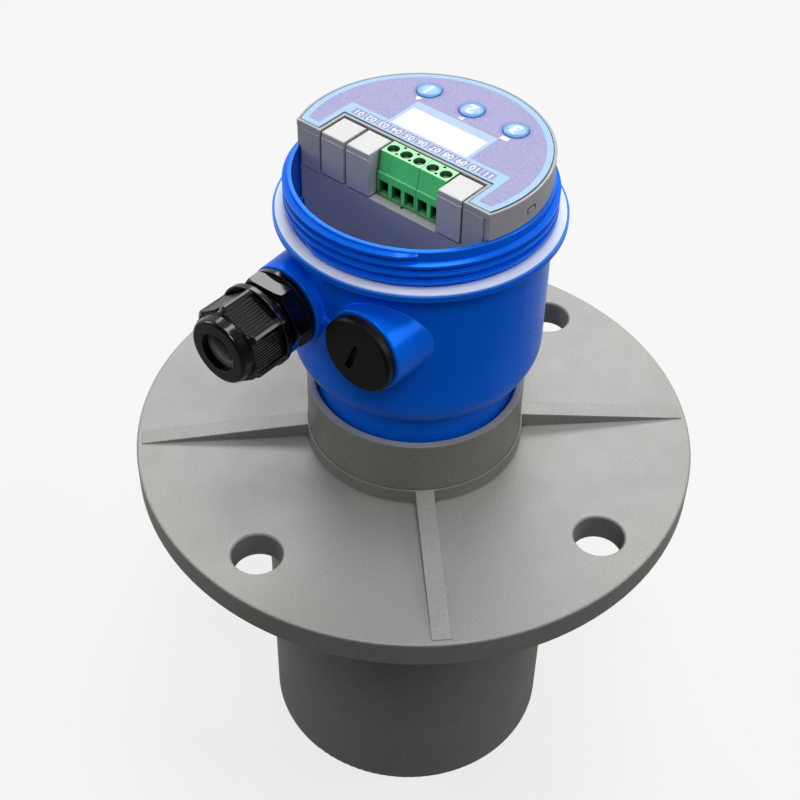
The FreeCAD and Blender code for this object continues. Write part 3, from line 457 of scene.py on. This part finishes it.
# Boards inside the module: two green boards with the display, switches, header, controller,
# drive transformer, capacitor and socket, held by six screws.
dress(moulded("board_laminate", rgb(28, 96, 52), 0.35, cloud=0.06, cloud_size=5.0),
      "display_board", "main_board")
dress(moulded("black_parts", rgb(24, 24, 25), 0.4, cloud=0.1, cloud_size=4.0),
      "switch_bodies", "switch_plunger_1", "switch_plunger_2", "switch_plunger_3",
      "board_header", "controller_chip")
dress(moulded("wound_ferrite", rgb(70, 70, 74), 0.55, cloud=0.1, cloud_size=5.0),
      "drive_transformer")
dress(moulded("can_sleeve", rgb(150, 152, 160), 0.3, cloud=0.05, cloud_size=9.0),
      "storage_capacitor")
dress(moulded("natural_nylon", rgb(222, 218, 204), 0.45, cloud=0.04, cloud_size=5.0),
      "lead_socket")
dress(plated_steel, "board_screws")

# Terminals: green blocks with a slotted screw, a lifting cage and a tinned contact at each of
# the five used positions. They stand on the shelf and are soldered to the main board.
USED = range(1, 6)


def chalky(tree, place, shade):
    """A paler green on what faces up: a painted sheen of the light from above."""
    return blend(tree, facing_up(tree, 0.6, 0.95, share=0.24), shade, rgb(236, 236, 226))


# Its long reach paints shade deep into the wire entries.
terminal_plastic = moulded("terminal_plastic", rgb(100, 240, 134), 0.34, cloud=0.06,
                           cloud_size=7.0, grain=0.010, edge=0.2, paint=chalky, edge_highlight=0.25,
                           joint_shade=0.97, reach=4.5, open_at=0.80)
dress(terminal_plastic, "terminal_block_3_way", "terminal_block_2_way")
dress(metal("screw_steel", rgb(248, 249, 251), 0.5, patch=1.1, dulled=0.2),
      *["terminal_screw_%d" % n for n in USED])
# The cages get a dark steel colour, painted shade for the dark wire entries they sit in.
dress(metal("cage_steel", rgb(104, 105, 108), 0.34), *["wire_clamp_%d" % n for n in USED])
dress(metal("tinned_strip", rgb(196, 197, 194), 0.3), "terminal_contacts")

# Blank covers: three pale grey moulded caps over the unused positions. Each is pushed into the
# shelf with a peg, and pulls off by hand.
def sunned(tree, place, shade):
    """Paler on what faces up: painted light from above."""
    return blend(tree, facing_up(tree, 0.6, 0.95, share=0.55), shade, rgb(240, 240, 239))


cover_plastic = moulded("cover_plastic", rgb(188, 189, 190), 0.46, cloud=0.05, cloud_size=6.0,
                        grain=0.016, grain_size=0.4, edge=0.24, shine=0.4, paint=sunned,
                        edge_highlight=0.45, joint_shade=0.9)
dress(cover_plastic, "blank_cover_1", "blank_cover_2", "blank_cover_3")

# Front panels: a thin panel lies in the shallow recess of each blank cover and of the case's two
# ends, and stands a little proud, so that its upper edge catches the light.
PANEL_TOP = 126.62
PANEL_FACE = -15.74
PANEL_BACK = -15.15
PANEL_EDGE = 0.16
COVER_CENTRES = (-22.86, -12.7, 22.86)
COVER_PANEL_HALF = 4.5
COVER_PANEL_FOOT = 113.55
CASE_PANEL_SIDES = ((28.1, 35.6), (-35.6, -28.1))


def plates(name, places, finish, edge_round):
    """Small rectangular plates in one piece. Each has two corners and a turn about the middle."""
    mesh = bmesh.new()
    for low, high, turn in places:
        part = bmesh.new()
        bmesh.ops.create_cube(part, size=1.0)
        for vertex in part.verts:
            vertex.co = Vector([(low[k] + high[k]) / 2 + vertex.co[k] * (high[k] - low[k])
                                for k in range(3)]) * MM
        bmesh.ops.bevel(part, geom=part.edges, offset=edge_round * MM, segments=3,
                        affect="EDGES", profile=0.5)
        bmesh.ops.rotate(part, verts=part.verts, cent=(0, 0, 0),
                         matrix=Euler((0, 0, math.radians(turn))).to_matrix())
        done = bpy.data.meshes.new(name + "_part")
        part.to_mesh(done)
        part.free()
        mesh.from_mesh(done)
        bpy.data.meshes.remove(done)
    made = shaped(name, mesh, finish)
    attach(made, "sensor")


plates("cover_panels", [((x - COVER_PANEL_HALF, PANEL_FACE, COVER_PANEL_FOOT),
                         (x + COVER_PANEL_HALF, PANEL_BACK, PANEL_TOP), 0)
                        for x in COVER_CENTRES], cover_plastic, PANEL_EDGE)
plates("case_panels", [((left, PANEL_FACE, SHELF_TOP), (right, PANEL_BACK, PANEL_TOP), 0)
                       for left, right in CASE_PANEL_SIDES],
       module_plastic, PANEL_EDGE)

# Latches: a small nub moulded with the case sits in each of its side pockets, where the ring of
# the cover snaps over it.
LATCH_LOW = (39.9, -1.7, 122.6)
LATCH_HIGH = (40.9, 1.2, 123.9)
LATCH_TURNS = (1.5, 178.5)
LATCH_EDGE = 0.2
plates("case_latches", [(LATCH_LOW, LATCH_HIGH, turn) for turn in LATCH_TURNS],
       module_plastic, LATCH_EDGE)

# Label: a film printed on its underside and glued on the module. A speckled violet field has
# a light blue border, which widens to a strip along the terminals with a cell for each number.
PITCH = 5.08                        # of the terminals
FILM_TOP = 128.95
KEY_CENTRES = (-17.2, 0.0, 17.2)
KEY_Y = 24.0
KEY_RADIUS = 4.1
SHADOW_RADIUS = 5.6                 # of the painted shadow round each key
FIELD_RADIUS = 37.6
FIELD_FRONT = -12.4
STRIP_HALF = 31.1
STRIP_BACK = 3.0
CELL_HALF = 0.45                    # of the pitch
CELL_SHIFT = 20.5                   # whole cells, to count from above nought, and half a one
CELLS_EACH_SIDE = 5.5
CELL_FRONT = -1.8
CELL_BACK = 1.5
EDGE_SHADOW_RADIUS = 39.52
NOTCH_HALF = 29.1
NOTCH_BACK = -2.9
EDGE_SHADOW_LOW = 0.16                  # the painted shadow line round the notch fades out between these two
EDGE_SHADOW_HIGH = 0.28
INK_BLUR = 0.06


def label_print(tree, place, shade):
    """The printed areas, with painted shadows round the keys and along the film's edge, worked out
    from the place on the film in millimetres.
    """
    split = add(tree, "ShaderNodeSeparateXYZ")
    tree.links.new(place, split.inputs[0])
    x = times(tree, split.outputs[0], 1.0 / MM)
    y = times(tree, split.outputs[1], 1.0 / MM)
    side = sums(tree, "ABSOLUTE", x)
    radius = sums(tree, "SQRT", sums(tree, "ADD", times(tree, x, x), times(tree, y, y)))

    def above(value, limit):
        """1 where the value is more than the limit."""
        return ramp(tree, value, limit - INK_BLUR, limit + INK_BLUR)

    def below(value, limit):
        """1 where the value is less than the limit."""
        return ramp(tree, value, limit + INK_BLUR, limit - INK_BLUR)

    def between(value, low, high):
        """1 where the value lies between the two limits."""
        return times(tree, above(value, low), below(value, high))

    grit = ramp(tree, noise(tree, place, 0.34, detail=2.0, rough=0.7), 0.34, 0.66)
    field = blend(tree, grit, rgb(148, 145, 192), rgb(184, 183, 222))
    # A painted shadow darkens the field round each key.
    for centre in KEY_CENTRES:
        apart = away_from(tree, place, centre, KEY_Y, FILM_TOP)
        shadow = ramp(tree, apart, SHADOW_RADIUS * MM, KEY_RADIUS * MM, to_high=0.65)
        field = blend(tree, shadow, field, rgb(108, 114, 182))
    border = sums(tree, "MAXIMUM", above(radius, FIELD_RADIUS), below(y, FIELD_FRONT))
    strip = times(tree, below(side, STRIP_HALF), below(y, STRIP_BACK))
    border = sums(tree, "MAXIMUM", border, strip)
    printed = blend(tree, border, field, rgb(172, 210, 246))
    along = sums(tree, "FRACT", sums(tree, "ADD", sums(tree, "DIVIDE", x, PITCH), CELL_SHIFT))
    cell = times(tree, between(along, 0.5 - CELL_HALF, 0.5 + CELL_HALF),
                 between(y, CELL_FRONT, CELL_BACK))
    cell = times(tree, ramp(tree, cell, 0.45, 0.55), below(side, CELLS_EACH_SIDE * PITCH))
    printed = blend(tree, cell, printed, blend(tree, grit, rgb(146, 140, 188), rgb(172, 168, 210)))
    # A dark line of painted shadow runs round the film's edge and the notch, where the gap to the
    # case lies.
    notch = times(tree, ramp(tree, side, NOTCH_HALF + EDGE_SHADOW_HIGH, NOTCH_HALF + EDGE_SHADOW_LOW),
                  ramp(tree, y, NOTCH_BACK + EDGE_SHADOW_HIGH, NOTCH_BACK + EDGE_SHADOW_LOW))
    outline = sums(tree, "MAXIMUM", above(radius, EDGE_SHADOW_RADIUS), notch)
    return blend(tree, outline, printed, rgb(24, 40, 62))


label_face = moulded("label_face", rgb(176, 170, 212), 0.50, cloud=0.05, cloud_size=12.0,
                     grain=0.006, grain_size=0.8, edge=0.08, shine=0.2, paint=label_print)
dress(label_face, "label_film")

# Print: the eleven position numbers in their cells, and a small plain mark in front of each key,
# all in white ink.
INK_LIFT = 0.012                    # how far printed characters stand clear of what is below
INK_DEPTH = 0.008
SAME_POINT = 0.002                  # outline points nearer than this are one
NUMBER_HEIGHT = 3.5
NUMBER_Y = -0.2
MARK_LIFT = 0.004
MARK_DEPTH = 0.02
KEY_MARKS = [[(-18.3, 19.2), (-17.1, 17.2), (-15.9, 19.2)],
             [(1.1, 19.3), (1.1, 17.4), (-1.2, 18.3)],
             [(15.7, 19.3), (18.6, 19.3), (18.6, 17.4), (15.7, 17.4)]]
white_ink = moulded("white_ink", rgb(240, 242, 246), 0.4, cloud=0.02, cloud_size=5.0,
                    grain=0.002, edge=0.02, shine=0.4)


def lettered(name, words, size, finish, body, weight=0.0, lift=None):
    """Plain printed characters, each (text, x, y, z) in millimetres, upright seen from behind."""
    mesh = bmesh.new()
    for text, x, y, z in words:
        curve = bpy.data.curves.new(name + "_text", "FONT")
        curve.body = text
        curve.size = size * MM
        curve.align_x = "CENTER"
        curve.align_y = "CENTER"
        curve.offset = weight * MM
        curve.extrude = INK_DEPTH * MM
        curve.resolution_u = 3
        holder = bpy.data.objects.new(name + "_holder", curve)
        bpy.context.scene.collection.objects.link(holder)
        holder.rotation_euler = (0.0, 0.0, math.pi)
        holder.location = (x * MM, y * MM, z * MM)
        bpy.context.view_layer.update()
        shape = bpy.data.meshes.new_from_object(
            holder.evaluated_get(bpy.context.evaluated_depsgraph_get()))
        shape.transform(holder.matrix_world)
        mesh.from_mesh(shape)
        bpy.data.objects.remove(holder)
        bpy.data.meshes.remove(shape)
    bmesh.ops.remove_doubles(mesh, verts=mesh.verts, dist=SAME_POINT * MM)
    if lift:
        bmesh.ops.triangulate(mesh, faces=mesh.faces)
        for vertex in mesh.verts:
            vertex.co.z += lift(vertex.co)
    made = shaped(name, mesh, finish)
    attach(made, body)


lettered("position_numbers", [("%02d" % n, (n - 6) * PITCH, NUMBER_Y, FILM_TOP + INK_LIFT)
                              for n in range(1, 12)],
         NUMBER_HEIGHT, white_ink, "sensor", weight=0.05)


def flat_marks(name, outlines, z, finish, body):
    """Small printed shapes, each an outline of points in millimetres."""
    mesh = bmesh.new()
    for outline in outlines:
        low = [mesh.verts.new((x * MM, y * MM, z * MM)) for x, y in outline]
        high = [mesh.verts.new((x * MM, y * MM, (z + MARK_DEPTH) * MM)) for x, y in outline]
        mesh.faces.new(low[::-1])
        mesh.faces.new(high)
        for i in range(len(low)):
            j = (i + 1) % len(low)
            mesh.faces.new((low[i], low[j], high[j], high[i]))
    bmesh.ops.recalc_face_normals(mesh, faces=mesh.faces)
    made = shaped(name, mesh, finish)
    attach(made, body)


flat_marks("key_marks", KEY_MARKS, FILM_TOP + MARK_LIFT, white_ink, "sensor")

# Display: a clear pane over a bare pale liquid crystal glass and its light box; the pane is drawn
# nearly opaque white, painted light that hides the shade in the recess under it. A pale blue
# printed border on the film runs over the pane's edge and hides the joint round it.
PANE_RIM = 1.2                      # of the pane, under the film
PANE_PLAY = 0.15
WINDOW_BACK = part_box("display_window")[1][1] / MM - PANE_RIM + PANE_PLAY
BORDER = [(-15.9, 1.55), (15.9, 1.55), (15.9, WINDOW_BACK + 0.5), (-15.9, WINDOW_BACK + 0.5)]
OPENING = [(-14.7, 2.45), (14.7, 2.45), (14.7, WINDOW_BACK - 3.0), (-14.7, WINDOW_BACK - 3.0)]
BORDER_FOOT = FILM_TOP + 0.002
BORDER_TOP = FILM_TOP + 0.02
border_ink = moulded("border_ink", rgb(186, 208, 238), 0.5, cloud=0.02, cloud_size=6.0,
                     grain=0.003, edge=0.05, shine=0.2)


def window_border():
    """A flat printed frame from just outside the pane's edge to its clear part."""
    mesh = bmesh.new()
    rings = [[mesh.verts.new((x * MM, y * MM, z * MM)) for x, y in outline]
             for outline, z in ((BORDER, BORDER_FOOT), (BORDER, BORDER_TOP),
                                (OPENING, BORDER_TOP), (OPENING, BORDER_FOOT))]
    for one, two in zip(rings, rings[1:] + rings[:1]):
        for i in range(4):
            j = (i + 1) % 4
            mesh.faces.new((one[i], one[j], two[j], two[i]))
    bmesh.ops.recalc_face_normals(mesh, faces=mesh.faces)
    made = shaped("window_border", mesh, border_ink)
    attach(made, "sensor")


window_border()
# The pane is drawn nearly opaque white, painted light that hides the shade in the recess under it.
clear_pane = moulded("clear_pane", rgb(240, 242, 244), 0.35, cloud=0.01, cloud_size=10.0,
                     grain=0.002, edge=0.08)
skin_of(clear_pane).inputs["Alpha"].default_value = 0.9
dress(clear_pane, "display_window")
dress(moulded("display_glass", rgb(238, 240, 240), 0.2, cloud=0.01, cloud_size=10.0,
              grain=0.002, edge=0.1), "lcd_glass")
dress(moulded("light_box", rgb(236, 236, 234), 0.4, cloud=0.02, cloud_size=6.0), "lcd_backlight")

# Keys: three domed silicone keys in openings of the film, light blue, with a paler middle painted
# on each dome as a highlight. Each rests on its switch and has a plain number printed on its dome.
KEY_FACE = 129.5
DOME_HIGHLIGHT_RADIUS = 1.4                   # of the painted highlight in the dome's middle
KEY_NUMBER_HEIGHT = 6.6
NUMBER_PLANE = 129.55               # where a number lies before it is dropped on its dome
RAY_FROM = 0.2                      # metres, well above the keys


def key_finish(number, centre):
    """The key's blue, painted paler in the middle as a highlight and deeper toward its rim as
    shade.
    """
    def rings(tree, place, shade):
        """A painted highlight: paler in the middle of the dome."""
        apart = away_from(tree, place, centre, KEY_Y, KEY_FACE)
        return blend(tree, ramp(tree, apart, DOME_HIGHLIGHT_RADIUS * MM, KEY_RADIUS * MM),
                     rgb(138, 198, 246), rgb(88, 154, 226))
    return moulded("key_silicone_%d" % number, rgb(120, 180, 238), 0.30, cloud=0.02, grain=0.003,
                   edge=0.2, paint=rings)


def over_dome(number):
    """How far a printed point moves to lie on the key's dome, just clear of it."""
    shape = frame["nodes"]["key_%d" % number].data
    surface = BVHTree.FromPolygons([v.co for v in shape.vertices],
                                   [p.vertices for p in shape.polygons])

    def drop(point):
        """The way from the plane down to the dome."""
        hit = surface.ray_cast(Vector((point.x, point.y, RAY_FROM)), Vector((0.0, 0.0, -1.0)))[0]
        return hit.z + INK_LIFT * MM - NUMBER_PLANE * MM
    return drop


for number, centre in enumerate(KEY_CENTRES, 1):
    dress(key_finish(number, centre), "key_%d" % number)
    lettered("key_number_%d" % number, [(str(number), centre, KEY_Y, NUMBER_PLANE)],
             KEY_NUMBER_HEIGHT, white_ink, "key_%d_body" % number, weight=0.20,
             lift=over_dome(number))

# Floor: a seamless white table that keeps the part's soft shadow and turns to plain white
# further off. The part mirrors a dim room with bright paper at the back left.
FLOOR_HALF = 4.0
FLOOR_Z = -133.02                   # just below the cup's foot
HAZE_NEAR = 0.9                     # metres from the part where the floor starts to turn white
HAZE_FAR = 2.5
FLOOR_WHITE = 0.80                  # the table's own colour, as the camera sees it
STRAY = 0.12                        # how bright floor and room are to stray light
PAPER_WAY = (-0.62, 0.78, 0.0)      # toward the white paper behind the table


def by_ray(tree, camera, mirror, other):
    """One number for what the camera sees, one for reflections and one for stray light."""
    rays = add(tree, "ShaderNodeLightPath")
    mirrors = sums(tree, "MAXIMUM", rays.outputs["Is Glossy Ray"],
                   rays.outputs["Is Transmission Ray"])
    unseen = sums(tree, "ADD", times(tree, mirrors, sums(tree, "SUBTRACT", mirror, other)), other)
    seen = times(tree, rays.outputs["Is Camera Ray"], sums(tree, "SUBTRACT", camera, other))
    return sums(tree, "ADD", seen, unseen)


def toward_back(tree, place, near, far, low, high):
    """A number that grows toward the back left, where the white paper rises."""
    along = add(tree, "ShaderNodeVectorMath", operation="DOT_PRODUCT")
    feed(tree, along.inputs, (place, PAPER_WAY))
    return ramp(tree, along.outputs["Value"], near, far, low, high)


white_table, floor_tree, floor_place = bare_finish("white_table")
floor_skin = skin_of(white_table)
floor_tree.links.new(grey_of(floor_tree, by_ray(floor_tree, FLOOR_WHITE, STRAY, STRAY)),
                     floor_skin.inputs["Base Color"])
floor_skin.inputs["Roughness"].default_value = 0.8
floor_skin.inputs["Specular IOR Level"].default_value = 0.1
floor_away = add(floor_tree, "ShaderNodeVectorMath", operation="LENGTH")
floor_tree.links.new(floor_place, floor_away.inputs[0])
away = floor_away.outputs["Value"]
floor_glow = add(floor_tree, "ShaderNodeEmission")
floor_tree.links.new(ramp(floor_tree, away, HAZE_NEAR, HAZE_FAR, to_low=0.972, to_high=1.0),
                     floor_glow.inputs["Strength"])
glow_seen = ramp(floor_tree, away, HAZE_NEAR, HAZE_FAR, to_low=0.78, to_high=1.0)
glow_mirrored = toward_back(floor_tree, floor_place, near=-0.1, far=0.35, low=0.06, high=0.85)
floor_mix = add(floor_tree, "ShaderNodeMixShader")
feed(floor_tree, floor_mix.inputs, (by_ray(floor_tree, glow_seen, glow_mirrored, 0.0),
                                    floor_skin.outputs[0], floor_glow.outputs[0]))
floor_tree.links.new(floor_mix.outputs[0],
                     floor_tree.nodes["Material Output"].inputs["Surface"])
floor_mesh = bmesh.new()
bmesh.ops.create_grid(floor_mesh, x_segments=1, y_segments=1, size=FLOOR_HALF)
floor = shaped("floor", floor_mesh, white_table)
floor.location = (0.0, 0.0, FLOOR_Z * MM)

room = bpy.data.worlds.new("room")
room.use_nodes = True
bpy.context.scene.world = room
room_tree = room.node_tree
room_light = room_tree.nodes["Background"]
room_light.inputs["Color"].default_value = (1.0, 1.0, 1.0, 1.0)
room_place = add(room_tree, "ShaderNodeTexCoord").outputs["Generated"]
paper = toward_back(room_tree, room_place, near=-0.3, far=0.6, low=0.10, high=0.8)
room_tree.links.new(by_ray(room_tree, 1.0, paper, STRAY), room_light.inputs["Strength"])

# Light: a large lamp overhead, a long one behind, one above the camera, and a weak lower lamp
# on each side. Each has its place, aim, width and height in metres, and its power in watts.
LAMPS = (("top_lamp", (0.06, 0.10, 1.42), (0, 0, 0.03), 0.5, 0.5, 5.8),
         ("back_lamp", (-0.62, 0.78, 0.98), (0, 0, 0.03), 1.0, 0.5, 8.4),
         ("front_lamp", (0.56, -0.64, 1.26), (0, 0, 0.03), 0.5, 0.4, 5.6),
         ("left_lamp", (-0.98, -0.66, 0.34), (0, 0, 0.05), 0.35, 0.6, 2.6),
         ("right_lamp", (0.95, 0.66, 0.66), (0, 0, 0.05), 0.4, 0.7, 3.8))
for name, place, aim, width, height, watts in LAMPS:
    light = bpy.data.lights.new(name, "AREA")
    light.shape = "RECTANGLE"
    light.size = width
    light.size_y = height
    light.energy = watts
    lamp = bpy.data.objects.new(name, light)
    bpy.context.scene.collection.objects.link(lamp)
    lamp.location = place
    lamp.rotation_euler = (Vector(aim) - Vector(place)).to_track_quat("-Z", "Y").to_euler()

# Camera: it stands where the picture was taken from, above and to the right of the cable
# entries. Its place, turn and lens were fitted to the outlines in the photograph.
CAMERA_PLACE = (0.239645, -0.300198, 0.382520)
CAMERA_TURN = (46.8151, -0.9096, 40.2293)
eye = bpy.data.cameras.new("eye")
eye.sensor_width = 36.0
eye.lens = 67.518
eye.clip_start = 0.01
camera = bpy.data.objects.new("camera", eye)
bpy.context.scene.collection.objects.link(camera)
camera.location = CAMERA_PLACE
camera.rotation_euler = Euler([math.radians(a) for a in CAMERA_TURN], "XYZ")
bpy.context.scene.camera = camera
bpy.context.scene.view_settings.view_transform = "Standard"
